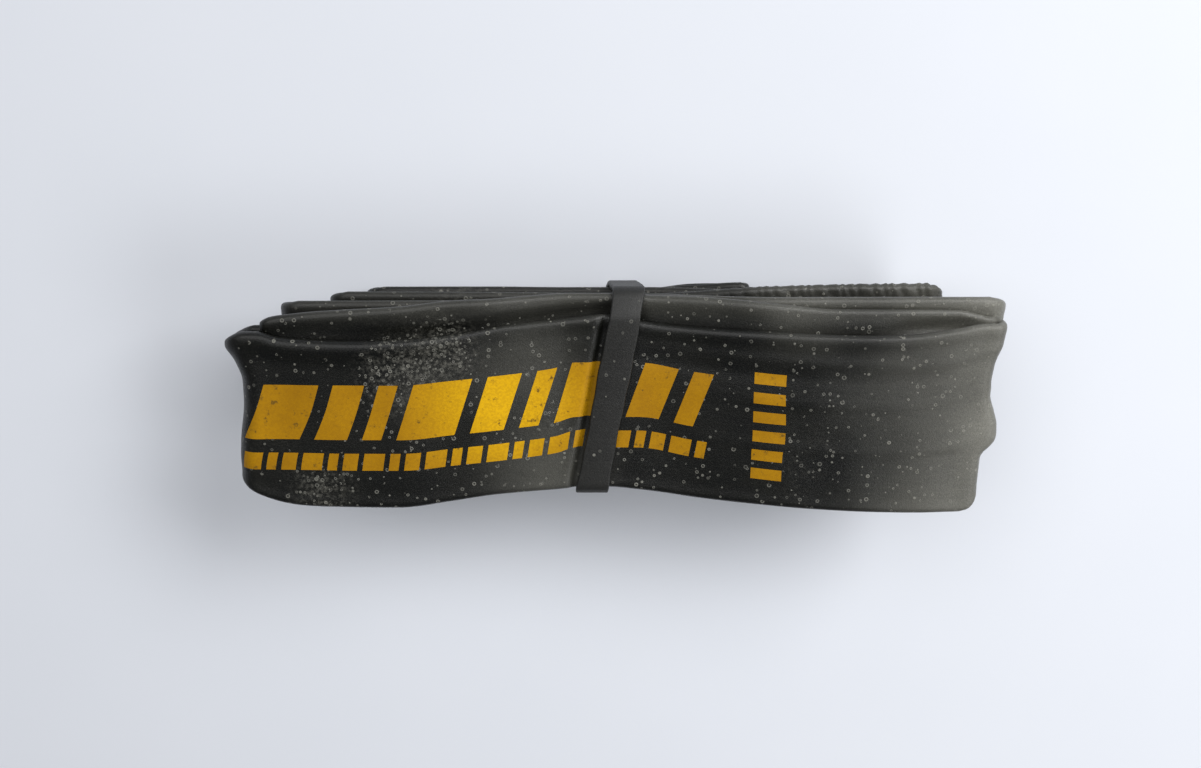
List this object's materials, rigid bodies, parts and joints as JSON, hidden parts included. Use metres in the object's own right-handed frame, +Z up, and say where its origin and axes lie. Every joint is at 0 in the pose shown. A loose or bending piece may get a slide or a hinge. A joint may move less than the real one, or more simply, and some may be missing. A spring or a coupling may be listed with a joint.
{
  "type": "bicycle inner tube",
  "caption": "Deflated bicycle inner tube folded into a long flat-topped bundle, with its valve and cap, held by a rubber band; holds air inside a tyre.",
  "frame": {"origin": "on the surface it lies on, under the middle of the folded bundle", "axes": "+X along the bundle towards the end where the valve points, +Y across it towards the side where the second layer shows, +Z up out of the top layer"},
  "size_m": [0.1258, 0.0388, 0.0312],
  "materials": {
    "tube_rubber": "matte, dusty",
    "band_rubber": "matte",
    "seal_rubber": "matte",
    "stem_metal": "satin nickel plate",
    "core_metal": "satin",
    "cap_plastic": "satin"
  },
  "bodies": {
    "tube": {"tube_body": "tube_rubber", "valve_foot": "tube_rubber", "valve_stem": "stem_metal", "core_body": "core_metal", "core_gasket": "seal_rubber"},
    "band": {"rubber_band": "band_rubber"},
    "cap": {"valve_cap": "cap_plastic"},
    "pin": {"core_pin": "core_metal", "core_seal": "seal_rubber"},
    "lock_nut": {"core_nut": "core_metal"}
  },
  "joints": [
    {"name": "band_slide_off", "type": "slide", "parent": "tube", "child": "band", "axis": [-1, 0, 0], "range_m": [0, 0.078], "deforming": ["rubber_band"]},
    {"name": "cap_pull_off", "type": "slide", "parent": "tube", "child": "cap", "axis": [1, 0, 0], "range_m": [0, 0.022]},
    {"name": "pin_push", "type": "slide", "parent": "tube", "child": "pin", "axis": [1, 0, 0], "range_m": [-0.002, 0]},
    {"name": "lock_nut_turn", "type": "hinge", "parent": "pin", "child": "lock_nut", "pos_m": [0.0555, -0.0016, 0.0035], "axis": [1, 0, 0], "range_deg": [-1720, 280]}
  ]
}
